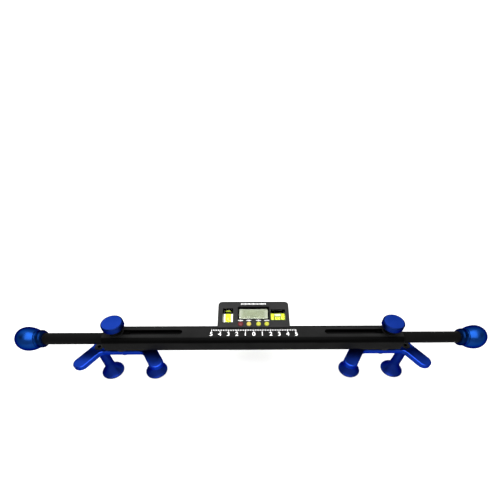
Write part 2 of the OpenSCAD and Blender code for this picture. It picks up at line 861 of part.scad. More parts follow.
module tilt_sensor() {
    color("#2a2a2a") at_bar() at_face()
        face_box(sensor_x, lens_s, sensor_l, sensor_l, board_back - seat_gap,
            board_back - seat_gap - sensor_h);
}

module keypad_membrane() {
    w = 2 * key_pocket_x - 4 * seat_gap;
    color("#54565a") at_bar() difference() {
        at_face()
            face_box(0, (keypad_s + hollow_s) / 2, w, hollow_s - keypad_s, keypad_top, keypad_top - keypad_t);
        bar_space(seat_gap);
    }
}

module coin_cell() {
    color("#c4c6c9") at_bar() at_face()
        face_round(0, lens_s, cell_d, cell_front, cell_front - cell_t);
}

// Bent strip between the board and the coin cell
module cell_contact() {
    top = board_back - seat_gap;
    low = cell_front + seat_gap;
    color("#cfae55") at_bar() at_face() {
        face_box(0, lens_s, contact_w, contact_w, top, top - contact_t);
        face_box(0, lens_s, contact_w, contact_w, low + contact_t, low);
        face_box(-contact_w / 2 + contact_t / 2, lens_s, contact_t, contact_w, top, low);
    }
}

// Round cover that a coin turns to let the cell out
module battery_cover() {
    color("#2c2c2e") at_bar() at_face() difference() {
        face_round(0, lens_s, cover_d, rear_inner, -case_depth);
        face_box(0, lens_s, coin_slot_l, coin_slot_w, -case_depth + coin_slot_depth, -case_depth - cut_past);
    }
}

// A clear block with a sealed bore of spirit, as one solid
module plumb_vial() {
    color("#dfe83a") at_bar() at_face()
        face_box(-plumb_x, plumb_s, plumb_w - 2 * seat_gap, plumb_h - 2 * seat_gap,
            -vial_recess, -case_depth + vial_recess);
}

module level_vial() {
    color("#d3ea3c") at_bar() at_face()
        face_box(level_x, level_s, level_w - 2 * seat_gap, level_h - 2 * seat_gap,
            -vial_recess, -case_depth + vial_recess);
}

// A button with a domed top and a flange that keeps it in the face
module button(i, d) {
    dome_h = button_rise / 2;
    dome_r = (d * d / 4 + dome_h * dome_h) / (2 * dome_h);
    at_bar() at_face() translate([button_x[i], button_s, 0]) {
        translate([0, 0, flange_low]) cylinder(h = button_flange_t, d = d + 2 * button_flange_rim);
        intersection() {
            translate([0, 0, flange_low]) cylinder(h = button_rise - flange_low, d = d);
            translate([0, 0, button_rise - dome_r]) sphere(dome_r);
        }
    }
}

module power_button() { color("#b3202a") button(0, power_d); }
module hold_button() { color("#f0a92c") button(1, button_d); }
module zero_button() { color("#e8e03a") button(2, button_d); }
module units_button() { color("#e8e03a") button(3, button_d); }

bar();
left_end_bush();
right_end_bush();
left_guide_screw();
right_guide_screw();
module_front_case();
module_rear_case();
lcd_window();
lcd_panel();
circuit_board();
tilt_sensor();
keypad_membrane();
coin_cell();
cell_contact();
battery_cover();
plumb_vial();
level_vial();
case_screws();
mount_screws();
power_button();
hold_button();
zero_button();
units_button();
left_rod();
left_ball_handle();
left_carriage();
left_swivel_screw();
left_claw_spacer();
left_friction_washer();
left_claw_plate();
left_outer_post();
left_inner_post();
left_post_screws();
left_knob_washer();
left_knob_sleeve();
left_knob();
left_knob_stud();
right_rod();
right_ball_handle();
right_carriage();
right_swivel_screw();
right_claw_spacer();
right_friction_washer();
right_claw_plate();
right_outer_post();
right_inner_post();
right_post_screws();
right_knob_washer();
right_knob_sleeve();
right_knob();
right_knob_stud();
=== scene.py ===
import math

import bmesh
import bpy
from mathutils import Matrix, Vector


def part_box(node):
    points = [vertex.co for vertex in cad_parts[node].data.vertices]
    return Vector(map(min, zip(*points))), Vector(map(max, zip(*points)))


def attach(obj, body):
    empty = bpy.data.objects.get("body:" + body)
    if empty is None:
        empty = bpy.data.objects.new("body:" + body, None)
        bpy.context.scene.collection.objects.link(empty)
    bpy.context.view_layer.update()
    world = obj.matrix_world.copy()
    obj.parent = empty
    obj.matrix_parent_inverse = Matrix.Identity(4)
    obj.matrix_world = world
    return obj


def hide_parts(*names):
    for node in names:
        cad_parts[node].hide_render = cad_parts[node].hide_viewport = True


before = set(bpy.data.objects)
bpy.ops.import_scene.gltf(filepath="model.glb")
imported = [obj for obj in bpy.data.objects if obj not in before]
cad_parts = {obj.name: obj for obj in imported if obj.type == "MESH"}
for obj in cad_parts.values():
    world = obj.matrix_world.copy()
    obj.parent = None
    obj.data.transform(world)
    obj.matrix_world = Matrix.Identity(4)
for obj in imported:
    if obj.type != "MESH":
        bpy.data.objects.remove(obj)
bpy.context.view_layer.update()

# Lengths are in millimetres here, and pieces are scaled to metres when they are made.
MM = 0.001

# Gaps between seated and between sliding pieces, and how far cutters pass a face
SEAT, SLIDE, PAST = 0.05, 0.1, 1

# Bar, its slots and its bushes
BAR_L, BAR_W, BAR_H, BAR_EDGE_R, BAR_WALL, CHANNEL_R = 354, 26.5, 22, 6.5, 2.5, 2
SLOT_W, SLOT_INNER, SLOT_LAND, BUSH_L = 7, 84.5, 12, 9
BAR_TOP = BAR_H / 2
CHANNEL_W, CHANNEL_H = BAR_W - 2 * BAR_WALL, BAR_H - 2 * BAR_WALL
GUIDE_X, GUIDE_D = BAR_L / 2 - BUSH_L / 2, 4

# Rods and ball handles
ROD_D, ROD_L, ROD_REACH, ROD_PUSH, ROD_PULL = 14, 190, 72, 68, 12
ROD_END_R, GROOVE_W, GROOVE_DEPTH = 0.6, 3, 1.5
HANDLE_X = BAR_L / 2 + ROD_REACH
HANDLE_D, SHOULDER_R, CAP_R, BACK_R = 29, 12.8, 16.6, 22
COLLAR_D, COLLAR_L, COLLAR_ROUND, NECK_GROOVE_R, SOCKET = 21.3, 7.5, 3.5, 0.7, 16

# Knobs and claws, from the axis of the carriage
CARRIAGE_X = 161.5
KNOB_D, KNOB_T, KNOB_EDGE_R, SLEEVE_D, SLEEVE_H, STUD_D = 25, 7.4, 1.4, 15, 7.9, 4
WASHER_D, WASHER_T, WASHER_LOW = 17, 1, BAR_TOP + SLIDE
SLEEVE_LOW = WASHER_LOW + WASHER_T + SLIDE
DISC_LOW = SLEEVE_LOW + SLEEVE_H
SPACER_ROOM, PLATE_T, PLATE_W, POST_X = 4, 6, 18, 29.5
PLATE_TOP = -BAR_TOP - SPACER_ROOM
PLATE_LOW = PLATE_TOP - PLATE_T
FINGER_L, FINGER_W, FINGER_BEND, CROOK_R = 28, 17, 58, 5
SPACER_D, SWIVEL_D, SWIVEL_HEAD_D, SWIVEL_HEAD_H, HEX_AF, HEX_DEEP = 18, 6, 12, 4, 4, 2.2
FRICTION_T = 0.8
POST_L, NECK_D, FLARE_D, FLARE_CURVE_R, RIM_T = 46, 12, 28.4, 24, 2.4
SCREW_HEAD_D, SCREW_D, SCREW_LAND, SCREW_L, SCREW_HEX_DEEP = 11.2, 6, 0.3, 6, 4.2

# Display module, in the frame of its face: x along the bar, s up the face, z out of it
LIP_OVER, LIP_RISE, FACE_TILT = 8.8, 3, 13
LIP_Y, LIP_Z = BAR_W / 2 - LIP_OVER, BAR_TOP + LIP_RISE
CASE_W, CASE_H, CASE_DEPTH, CASE_CORNER_R, SPLIT = 86.5, 37, 21, 5, 10.5
THROUGH_CASE = -CASE_DEPTH - PAST
LENS_W, LENS_H, LENS_S, LENS_CORNER_R, FACE_T = 38.3, 18.3, 20.2, 1.2, 2.5
BEZEL_W, BEZEL_H, BEZEL_CORNER_R, BEZEL_TOP, BEZEL_DOWN = 34.8, 14.5, 1.0, -0.5, 0.4
WINDOW_TOP, WINDOW_LOW = -1.3, -2.2
PANEL_W, PANEL_H, PANEL_CORNER_R, PANEL_LOW = 39.9, 18.3, 0.5, -5.75
BUTTON_S, BUTTON_RISE, BUTTON_LOW, BUTTON_GAP = 4.6, 1.2, -1.85, 0.15
FLANGE_W, FLANGE_T = 0.4, 0.6
# Each button's name, place along x, diameter and slot
BUTTONS = (("power_button", -15.6, 6.2, "red_button"), ("hold_button", -5.8, 5.4, "orange_button"),
           ("zero_button", 5.8, 5.4, "yellow_button"), ("units_button", 15.6, 5.4, "yellow_button"))
COVER_D, COVER_T, COVER_GAP, COVER_ROOM = 24, 2, 0.15, 6
COIN_L, COIN_W, COIN_DEEP = 17, 1.8, 1
CASE_SCREW_INSET, CASE_SCREW_HEAD_D, CASE_SCREW_SINK = 5, 4.4, 3

# Vials: the place and size of their openings, and what their tubes hold
PLUMB_SIDE, PLUMB_S, PLUMB_W, PLUMB_H, PLUMB_TUBE_R = 12.1, 17.2, 12.2, 19.4, 3.6
LEVEL_SIDE, LEVEL_S, LEVEL_W, LEVEL_H, LEVEL_TUBE_R = 13.6, 17.8, 17.4, 14.8, 5.2
PLUMB_OPENING = (PLUMB_SIDE - CASE_W / 2, PLUMB_S, PLUMB_W, PLUMB_H)
LEVEL_OPENING = (CASE_W / 2 - LEVEL_SIDE, LEVEL_S, LEVEL_W, LEVEL_H)
VIAL_OPENINGS = (PLUMB_OPENING, LEVEL_OPENING)
OPENING_CORNER_R, OPENING_EDGE = 0.8, 0.35
VIAL_RECESS, VIAL_GROWN, TUBE_SHORT, TUBE_EDGE = 0.8, 0.12, 0.6, 0.6
BUBBLE_R, BUBBLE_L, BUBBLE_EDGE, BUBBLE_UP, BUBBLE_OUT = 2.2, 9.2, 2.1, 1.3, 3.5
LINE_X, LINE_D, LINE_INNER_D, LINE_W = 3.9, 10.5, 10.1, 0.5

# Printed marks: the bar's scale and the module's signs and graduations
PRINT_T = 0.03
SCALE_HALF, SCALE_STEP, SCALE_NUMBERED, SCALE_TOP = 50, 2, 10, 3.6
TICK_W, TICK_R, TICK_LONG, TICK_SHORT = 0.6, 0.15, 3.4, 2.0
DIGIT_H, DIGIT_SHARE, DIGIT_Y = 5.6, 0.7, -6.2
STROKE_R, SIGN_S, SIGN_D, DASH_X, DASH_W, DASH_H = 0.1, 9.4, 2.0, 2.1, 1.5, 0.55
GRADE_S, GRADE_HALF, GRADE_GROUP, GRADE_W, GRADE_LONG, GRADE_SHORT = 33.2, 15, 5, 0.5, 2.2, 1.4

SIDES = (("left", -1), ("right", 1))

bar_low, bar_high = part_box("bar")
BAR_AT = Matrix.Translation((bar_low + bar_high) / 2)


def at(x, y, z):
    """A place measured from the middle of the bar."""
    return BAR_AT @ Matrix.Translation(Vector((x, y, z)) * MM)


TILT = Matrix.Rotation(math.radians(FACE_TILT), 4, "X")
FACE_AT = at(0, LIP_Y, LIP_Z) @ TILT


def on_face(x, s, z):
    """A place measured on the module's face."""
    return FACE_AT @ Matrix.Translation(Vector((x, s, z)) * MM)


# Outlines and profiles

def arc(centre, radius, start, end, steps=12):
    """Points on an arc, with its angles in degrees."""
    angles = (math.radians(start + (end - start) * i / steps) for i in range(steps + 1))
    return [(centre[0] + radius * math.cos(a), centre[1] + radius * math.sin(a)) for a in angles]


def rounded_rect(w, h, r, steps):
    x, y = w / 2 - r, h / 2 - r
    return (arc((x, y), r, 0, 90, steps) + arc((-x, y), r, 90, 180, steps)
            + arc((-x, -y), r, 180, 270, steps) + arc((x, -y), r, 270, 360, steps))


def slot_outline(length, width):
    """A slot along x with round ends."""
    steps = 16
    x = (length - width) / 2
    return arc((x, 0), width / 2, -90, 90, steps) + arc((-x, 0), width / 2, 90, 270, steps)


def circle(r):
    steps = 64
    return arc((0, 0), r, 0, 360, steps)[:-1]


def hexagon(across_flats):
    return arc((0, 0), across_flats / math.sqrt(3), 0, 360, steps=6)[:-1]


def path(*corners, steps=5):
    """A line through corners (r, z, radius), each rounded by its radius where one is given."""
    points = []
    for i, corner in enumerate(corners):
        here = Vector(corner[:2])
        if len(corner) < 3:
            points.append(tuple(here))
            continue
        back = (Vector(corners[i - 1][:2]) - here).normalized()
        on = (Vector(corners[i + 1][:2]) - here).normalized()
        half = back.angle(on) / 2
        centre = here + (back + on).normalized() * (corner[2] / math.sin(half))
        first = here + back * (corner[2] / math.tan(half)) - centre
        last = here + on * (corner[2] / math.tan(half)) - centre
        for k in range(steps + 1):
            t = k / steps
            sweep = first.angle(last)
            mix = (first * math.sin((1 - t) * sweep) + last * math.sin(t * sweep)) / math.sin(sweep)
            points.append(tuple(centre + mix))
    return points


def inset(outline, depth):
    """An anticlockwise outline drawn in by a depth, or out where it is negative.

    The least share keeps the points of very sharp corners from moving too far.
    """
    least = 0.3
    drawn = []
    count = len(outline)
    for i in range(count):
        here = Vector(outline[i])
        u = (here - Vector(outline[i - 1])).normalized()
        v = (Vector(outline[(i + 1) % count]) - here).normalized()
        inward = Vector((-u.y - v.y, u.x + v.x)).normalized()
        share = max(least, inward.dot(Vector((-u.y, u.x))))
        drawn.append(tuple(here + inward * (depth / share)))
    return drawn


# Solids, as bmesh in millimetres

def loft(rings):
    """A closed skin through rings of points, with flat ends."""
    bm = bmesh.new()
    loops = [[bm.verts.new(p) for p in points] for points in rings]
    count = len(loops[0])
    for low, high in zip(loops, loops[1:]):
        for i in range(count):
            j = (i + 1) % count
            bm.faces.new((low[i], low[j], high[j], high[i]))
    bm.faces.new(list(reversed(loops[0])))
    bm.faces.new(loops[-1])
    return bm


def prism(outline, low, high, edge=0.0, edge_low=None, steps=4):
    """An outline pulled up from low to high, with its edges rounded."""
    under = edge if edge_low is None else edge_low
    levels = []
    for i in range(steps + 1 if under else 1):
        a = math.pi / 2 * i / steps
        levels.append((under * (1 - math.sin(a)), low + under * (1 - math.cos(a))))
    for i in range(steps, -1, -1) if edge else [0]:
        a = math.pi / 2 * i / steps
        levels.append((edge * (1 - math.sin(a)), high - edge * (1 - math.cos(a))))
    return loft([[(x, y, z) for x, y in inset(outline, d)] for d, z in levels])


def flared(outline, low, high, chamfer, low_too=True):
    """A cutter that widens by a chamfer where it leaves the faces at low and high, or high alone."""
    levels = [(0, low)]
    if low_too:
        levels = [(-chamfer - PAST, low - PAST), (0, low + chamfer)]
    levels += [(0, high - chamfer), (-chamfer - PAST, high + PAST)]
    return loft([[(x, y, z) for x, y in inset(outline, d)] for d, z in levels])


def lathe(profile, closed=False, steps=96):
    """A profile of (r, z) points turned about z, joined end to start for a ring."""
    on_axis = 1e-6
    bm = bmesh.new()
    rings = []
    for r, z in profile:
        turns = [2 * math.pi * k / steps for k in range(steps)] if r > on_axis else [0]
        rings.append([bm.verts.new((r * math.cos(t), r * math.sin(t), z)) for t in turns])
    pairs = list(zip(rings, rings[1:]))
    if closed:
        pairs.append((rings[-1], rings[0]))
    for low, high in pairs:
        for k in range(steps):
            around = ((low, k), (low, k + 1), (high, k + 1), (high, k))
            corners = list(dict.fromkeys(loop[i % len(loop)] for loop, i in around))
            if len(corners) > 2:
                bm.faces.new(corners)
    return bm


def ring(outer_d, inner_d, low, high, edge):
    """A ring about z with rounded edges."""
    inner, outer = inner_d / 2, outer_d / 2
    middle = (low + high) / 2
    line = path((inner, middle), (inner, high, edge / 2), (outer, high, edge), (outer, low, edge),
                (inner, low, edge / 2), (inner, middle))
    return lathe(line[:-1], closed=True)


def capsule(r, length, edge, steps):
    """A cylinder about z with rounded ends."""
    half = length / 2
    return lathe(path((0, -half), (r, -half, edge), (r, half, edge), (0, half)), steps=steps)


def moved(bm, matrix):
    bm.transform(matrix)
    return bm


def shifted(bm, x, y, z):
    return moved(bm, Matrix.Translation((x, y, z)))


ALONG_X = Matrix.Rotation(math.radians(90), 4, "Y")
UPRIGHT = Matrix.Rotation(math.radians(-90), 4, "X")
SAME_POINT = 1e-7
SMOOTH_UNDER = math.radians(38)


def new_object(name, bm):
    bmesh.ops.remove_doubles(bm, verts=bm.verts, dist=SAME_POINT)
    bmesh.ops.recalc_face_normals(bm, faces=bm.faces)
    mesh = bpy.data.meshes.new(name)
    bm.to_mesh(mesh)
    bm.free()
    obj = bpy.data.objects.new(name, mesh)
    bpy.context.scene.collection.objects.link(obj)
    return obj


def carved(bm, *cutters):
    """bm with the cutters taken out of it."""
    body = new_object("body", bm)
    tools = [new_object("tool", cutter) for cutter in cutters]
    for tool in tools:
        cut = body.modifiers.new("cut", "BOOLEAN")
        cut.operation = "DIFFERENCE"
        cut.solver = "EXACT"
        cut.object = tool
    done = bpy.data.meshes.new_from_object(body.evaluated_get(bpy.context.evaluated_depsgraph_get()))
    result = bmesh.new()
    result.from_mesh(done)
    bpy.data.meshes.remove(done)
    for obj in [body] + tools:
        mesh = obj.data
        bpy.data.objects.remove(obj)
        bpy.data.meshes.remove(mesh)
    return result


def piece(name, bm, look, body, place, stands_for=()):
    """One piece of the object: shaded, placed, given its material and its body."""
    bm.transform(Matrix.Scale(MM, 4))
    for face in bm.faces:
        face.smooth = True
    for edge in bm.edges:
        edge.smooth = len(edge.link_faces) == 2 and edge.calc_face_angle(0) < SMOOTH_UNDER
    obj = new_object(name, bm)
    obj.matrix_world = place
    obj.data.materials.append(look)
    normals = obj.modifiers.new("normals", "WEIGHTED_NORMAL")
    normals.keep_sharp = True
    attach(obj, body)
    if stands_for:
        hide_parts(*stands_for)
    return obj


# Materials

def add_node(tree, kind, inputs, **settings):
    """A shader node whose inputs are set to values or linked to other nodes."""
    made = tree.nodes.new(kind)
    for key, value in settings.items():
        setattr(made, key, value)
    for key, value in inputs.items():
        if isinstance(value, bpy.types.NodeSocket):
            tree.links.new(value, made.inputs[key])
        else:
            made.inputs[key].default_value = value
    return made


def map_range(tree, value, first, last, low, high):
    """A value's stretch from first to last, spread over the range from low to high."""
    return add_node(tree, "ShaderNodeMapRange", {"Value": value, "From Min": first, "From Max": last,
                                                 "To Min": low, "To Max": high}).outputs[0]


class Look:
    """A Principled material whose detail comes from nodes in the piece's own coordinates."""

    def __init__(self, name, **sockets):
        self.mat = bpy.data.materials.new(name)
        self.mat.use_nodes = True
        self.tree = self.mat.node_tree
        self.shader = self.tree.nodes["Principled BSDF"]
        own = self.node("ShaderNodeTexCoord", {})
        self.coords, self.normal = own.outputs["Object"], own.outputs["Normal"]
        for socket, value in sockets.items():
            self.shader.inputs[socket.replace("_", " ")].default_value = value

    def node(self, kind, inputs, **settings):
        return add_node(self.tree, kind, inputs, **settings)

    def calc(self, operation, *values):
        """A sum or the like of plain values."""
        return self.node("ShaderNodeMath", dict(enumerate(values)), operation=operation).outputs[0]

    def vector_calc(self, operation, *values, output="Vector"):
        """A product or the like of vectors, or their length or dot product as output Value."""
        made = self.node("ShaderNodeVectorMath", dict(enumerate(values)), operation=operation)
        return made.outputs[output]

    def axes(self, vector):
        return self.node("ShaderNodeSeparateXYZ", {0: vector}).outputs

    def noise(self, scale, detail=3.0, coords=None):
        """Noise whose scale is in cycles per metre along x, y and z."""
        mapped = self.node("ShaderNodeMapping", {"Vector": coords or self.coords, "Scale": scale})
        return self.node("ShaderNodeTexNoise", {"Vector": mapped.outputs[0], "Scale": 1.0, "Detail": detail,
                                                "Roughness": 0.55}).outputs[0]

    def round_coords(self):
        """Distance from the axis and height along it, for marks that run around a turned piece."""
        flat = self.vector_calc("MULTIPLY", self.coords, (1, 1, 0))
        radius = self.vector_calc("LENGTH", flat, output="Value")
        height = self.axes(self.coords)["Z"]
        return self.node("ShaderNodeCombineXYZ", {"X": radius, "Y": height}).outputs[0]

    def spread(self, value, low, high, first=0.3, last=0.7):
        """A value's middle part spread over a new range."""
        return map_range(self.tree, value, first, last, low, high)

    def colours(self, value, *stops):
        """A colour ramp through (position, colour) stops."""
        ramp = self.node("ShaderNodeValToRGB", {0: value})
        for i, (position, colour) in enumerate(stops):
            stop = ramp.color_ramp.elements[i] if i < 2 else ramp.color_ramp.elements.new(position)
            stop.position = position
            stop.color = (*colour, 1)
        return ramp.outputs[0]

    def link(self, value, socket):
        self.tree.links.new(value, self.shader.inputs[socket])
        return self

    def bump(self, *heights):
        """Bumps from (height, strength, depth in mm), one on top of the other."""
        normal = None
        for height, strength, depth in heights:
            inputs = {"Height": height, "Strength": strength, "Distance": depth * MM}
            if normal:
                inputs["Normal"] = normal
            normal = self.node("ShaderNodeBump", inputs).outputs[0]
        return self.link(normal, "Normal")


def grey(value):
    return (value, value, value)


def black_anodised(name, dark, light, painted_edge_shade=False):
    """Black anodised metal, drawn lengthways.

    When asked for, painted shade darkens the rounded edges and inner faces, and the front and back a
    little.
    """
    look = Look(name, Specular_IOR_Level=0.015)
    lines = look.noise((12, 5200, 5200), detail=4)
    cloud = look.noise((45, 90, 90), detail=4)
    tone_and_painted_shade = look.spread(cloud, 0.35, 0.65)
    # Painted shade: darker on rounded edges and ends, a little on the front and back, and on faces turned
    # inward
    if painted_edge_shade:
        front_share = 0.978
        facing = look.vector_calc("ABSOLUTE", look.normal)
        facing = look.axes(look.vector_calc("MULTIPLY", facing, (0, front_share, 1)))
        flat = look.calc("MAXIMUM", facing["Y"], facing["Z"])
        outward = look.vector_calc("DOT_PRODUCT", look.coords, look.normal, output="Value")
        tone_and_painted_shade = look.calc("ADD", tone_and_painted_shade, look.spread(flat, -0.65, 0.35, first=0.93, last=1.0))
        tone_and_painted_shade = look.calc("ADD", tone_and_painted_shade, look.spread(outward, -1.0, 0.0, first=0.0, last=MM))
    look.link(look.colours(tone_and_painted_shade, (0.0, grey(dark)), (1.0, grey(light))), "Base Color")
    look.link(look.spread(cloud, 0.40, 0.50), "Roughness")
    return look.bump((lines, 0.12, 0.02)).mat


def blue_anodised(name, rough, deep, bright, turned=True, painted_darkening=None):
    """Glossy blue anodised aluminium, with turning marks on round pieces.

    A painted darkening, standing in for shade or a dark reflection, darkens it along an axis of the round
    coordinates, from first to last, as the ramp's stops say.
    """
    look = Look(name, Metallic=1.0, Specular_Tint=(0.05, 0.08, 0.3, 1))
    cloud = look.noise((70, 70, 70), detail=4)
    grain = look.noise((5500, 5500, 5500), detail=2)
    colour = look.colours(cloud, (0.3, deep), (0.7, bright))
    # Painted shade or a painted dark reflection, as a factor on the colour
    if painted_darkening:
        axis, first, last, stops = painted_darkening
        reach = look.axes(look.round_coords())[axis]
        painted_dark_factor = look.colours(look.spread(reach, 0.0, 1.0, first * MM, last * MM), *stops)
        colour = look.vector_calc("MULTIPLY", colour, painted_dark_factor)
    look.link(colour, "Base Color")
    look.link(look.spread(cloud, rough - 0.04, rough + 0.04), "Roughness")
    bumps = [(grain, 0.05, 0.02)]
    if turned:
        bumps.append((look.noise((3200, 3200, 1), detail=2, coords=look.round_coords()), 0.06, 0.02))
    return look.bump(*bumps).mat


def moulded(name, dark, light, rough, strength=0.35, gloss=0.3):
    """Moulded plastic or rubber with a fine eroded grain."""
    look = Look(name, Specular_IOR_Level=gloss)
    cloud = look.noise((60, 60, 60), detail=4)
    fine = look.noise((2600, 2600, 2600), detail=3)
    look.link(look.colours(cloud, (0.3, dark), (0.7, light)), "Base Color")
    look.link(look.spread(fine, rough - 0.07, rough + 0.07), "Roughness")
    return look.bump((fine, strength, 0.05)).mat


def metal(name, dark, light, rough):
    """Plain machined metal with fine marks."""
    look = Look(name, Metallic=1.0)
    cloud = look.noise((250, 250, 250), detail=5)
    marks = look.noise((4200, 4200, 4200), detail=3)
    look.link(look.colours(cloud, (0.3, dark), (0.7, light)), "Base Color")
    look.link(look.spread(cloud, rough - 0.06, rough + 0.06), "Roughness")
    return look.bump((marks, 0.15, 0.02)).mat


def clear(name, tint, rough, ior=1.49):
    """Clear acrylic, glass or spirit with faint smudges."""
    look = Look(name, Base_Color=(*tint, 1), Transmission_Weight=1.0, IOR=ior,
                Specular_Tint=(0.1, 0.1, 0.1, 1))
    smudge = look.noise((160, 160, 160), detail=5)
    return look.link(look.spread(smudge, rough * 0.4, rough * 1.6), "Roughness").mat


def display():
    """Reflective display glass: a pale margin, a greener field and fine electrode lines."""
    field_half = {"X": 17.2, "Y": 6.9}
    field, margin = (0.153, 0.173, 0.098), (0.26, 0.275, 0.215)
    look = Look("display", IOR=1.5, Roughness=0.3)
    place = look.axes(look.coords)
    reach = [look.calc("DIVIDE", look.calc("ABSOLUTE", place[axis]), half * MM)
             for axis, half in field_half.items()]
    lines = look.noise((2600, 260, 1), detail=1)
    ragged = look.calc("ADD", look.calc("MAXIMUM", *reach), look.spread(lines, -0.02, 0.02))
    look.link(look.colours(ragged, (0.72, field), (0.93, margin)), "Base Color")
    return look.bump((lines, 0.05, 0.01)).mat


# Painted darkening: a painted dark reflection on the handles' collars, fading before the groove, and
# painted shade on the knobs' rims
FADE_START, FADE_END, KNOB_FLAT_R = 3, 1, 10.8
COLLAR_PAINTED_REFLECTION = ("Y", COLLAR_L - FADE_START, COLLAR_L - FADE_END, ((0.0, grey(0.28)), (1.0, grey(1))))
KNOB_RIM_PAINTED_SHADE = ("X", KNOB_FLAT_R, KNOB_D / 2,
            ((0.0, grey(1)), (0.25, grey(0.2)), (0.9, grey(0.2)), (1.0, grey(0.4))))
# Darker and lighter colour of each kind of button
BUTTON_COLOURS = {
    "red_button": ((0.056, 0.0027, 0.0042), (0.078, 0.0042, 0.0052)),
    "orange_button": ((0.27, 0.215, 0.036), (0.31, 0.258, 0.047)),
    "yellow_button": ((0.232, 0.234, 0.018), (0.272, 0.275, 0.024)),
}

# The bar gets painted shade on its rounded edges, front, back and inner faces
BLACK_BAR = black_anodised("black_bar", 0.0004, 0.0085, painted_edge_shade=True)
BLACK_ROUND = black_anodised("black_round", 0.0014, 0.0028)
# Near black for the carriages seen through the slots: painted shade of the slots
PAINTED_SLOT_SHADE = moulded("painted_slot_shade", grey(0.0004), grey(0.0009), 0.6, gloss=0.01)
BLUE_TURNED = blue_anodised("blue_turned", 0.32, (0.0030, 0.023, 0.118), (0.0042, 0.030, 0.154),
                            painted_darkening=COLLAR_PAINTED_REFLECTION)
BLUE_KNOB = blue_anodised("blue_knob", 0.36, (0.0085, 0.030, 0.22), (0.0115, 0.038, 0.27), painted_darkening=KNOB_RIM_PAINTED_SHADE)
# The plates and posts are darker copies of the blue finish: painted shade under the bar and near the floor
BLUE_PLATE_PAINTED_SHADE = blue_anodised("blue_plate_painted_shade", 0.32, (0.0056, 0.022, 0.190), (0.0072, 0.028, 0.245), turned=False)
BLUE_POST_PAINTED_SHADE = blue_anodised("blue_post_painted_shade", 0.42, (0.0038, 0.012, 0.105), (0.0050, 0.016, 0.136))
CASE = moulded("case_plastic", grey(0.0080), grey(0.0110), 0.52, gloss=0.07)
# Black without gloss: a real black frame at the display, and painted shade on the walls of the vials'
# openings
BLACK_FRAME_AND_PAINTED_SHADE = moulded("black_frame_and_painted_shade", grey(0.0006), grey(0.0014), 0.6, gloss=0.0)
BLACK_PLASTIC = moulded("black_plastic", grey(0.004), grey(0.007), 0.5, gloss=0.06)
PRINT = moulded("white_print", grey(0.74), grey(0.86), 0.55, strength=0.1)
STEEL = metal("steel", grey(0.45), grey(0.6), 0.32)
BLACK_STEEL = metal("black_steel", grey(0.010), grey(0.018), 0.36)
BRASS = metal("brass", (0.5, 0.33, 0.09), (0.65, 0.45, 0.14), 0.3)
BOARD = moulded("board", (0.008, 0.06, 0.02), (0.012, 0.09, 0.03), 0.4)
RUBBER = moulded("grey_rubber", grey(0.03), grey(0.045), 0.7)
BUTTON_LOOKS = {name: moulded(name, dark, light, 0.34, strength=0.15, gloss=0.15)
                for name, (dark, light) in BUTTON_COLOURS.items()}
WINDOW = clear("clear_window", (0.96, 0.98, 0.95), 0.04)
ACRYLIC = clear("acrylic", (0.97, 0.99, 0.96), 0.03)
SPIRIT = clear("spirit", (0.76, 0.95, 0.05), 0.02, ior=1.06)
# The bubble is pale and opaque: painted reflection of light from its surface
BUBBLE_PAINTED_REFLECTION = moulded("bubble", (0.85, 0.88, 0.7), (0.95, 0.97, 0.85), 0.2, strength=0.02)
RINGS = moulded("ring_lines", grey(0.03), grey(0.05), 0.4, strength=0.05)
DISPLAY = display()


# Bar

def slot_cutter(side):
    length = BAR_L / 2 - SLOT_LAND - SLOT_INNER
    cutter = flared(slot_outline(length, SLOT_W), -BAR_TOP, BAR_TOP, chamfer=0.2)
    return shifted(cutter, side * (SLOT_INNER + length / 2), 0, 0)


def guide_cutter(side):
    """The guide screw's hole in the bar's underside."""
    return shifted(flared(circle(GUIDE_D / 2), -BAR_TOP, 0, chamfer=0.3), side * GUIDE_X, 0, 0)


def bar_section(w, h, r, low, high, edge=0.0):
    """A rounded bar along x."""
    return moved(prism(rounded_rect(h, w, r, steps=12), low, high, edge), ALONG_X)


bar = carved(
    bar_section(BAR_W, BAR_H, BAR_EDGE_R, -BAR_L / 2, BAR_L / 2, edge=0.5),
    bar_section(CHANNEL_W, CHANNEL_H, CHANNEL_R, -BAR_L / 2 - PAST, BAR_L / 2 + PAST),
    *[slot_cutter(side) for _, side in SIDES],
    *[guide_cutter(side) for _, side in SIDES])
piece("bar_shape", bar, BLACK_BAR, "bar_unit", BAR_AT, ["bar"])


def bush():
    """A block in the end of the channel, bored for the rod and drilled for the guide screw."""
    end = BUSH_L / 2
    block = bar_section(CHANNEL_W - 2 * SEAT, CHANNEL_H - 2 * SEAT, CHANNEL_R, -end, end, edge=0.3)
    bore = moved(flared(circle(ROD_D / 2 + SEAT), -end, end, chamfer=0.5), ALONG_X)
    screw = prism(circle(GUIDE_D / 2), -BAR_H, 0)
    return carved(block, bore, screw)


for name, side in SIDES:
    piece(name + "_bush_shape", bush(), BLACK_PLASTIC, "bar_unit",
          at(side * GUIDE_X, 0, 0), [name + "_end_bush"])


# Rods and handles

def rod_solid():
    """The right rod along x, with its guide groove below."""
    inner = HANDLE_X + SOCKET - SEAT - ROD_L
    r = ROD_D / 2
    shaft = lathe(path((0, 0), (r, 0, ROD_END_R), (r, ROD_L, ROD_END_R), (0, ROD_L)))
    shaft = shifted(moved(shaft, ALONG_X), inner, 0, 0)
    groove = prism(slot_outline(ROD_PUSH + ROD_PULL + GROOVE_W, GROOVE_W), -ROD_D, -r + GROOVE_DEPTH)
    middle = GUIDE_X + (ROD_PUSH - ROD_PULL) / 2
    return carved(shaft, shifted(groove, middle, 0, 0))


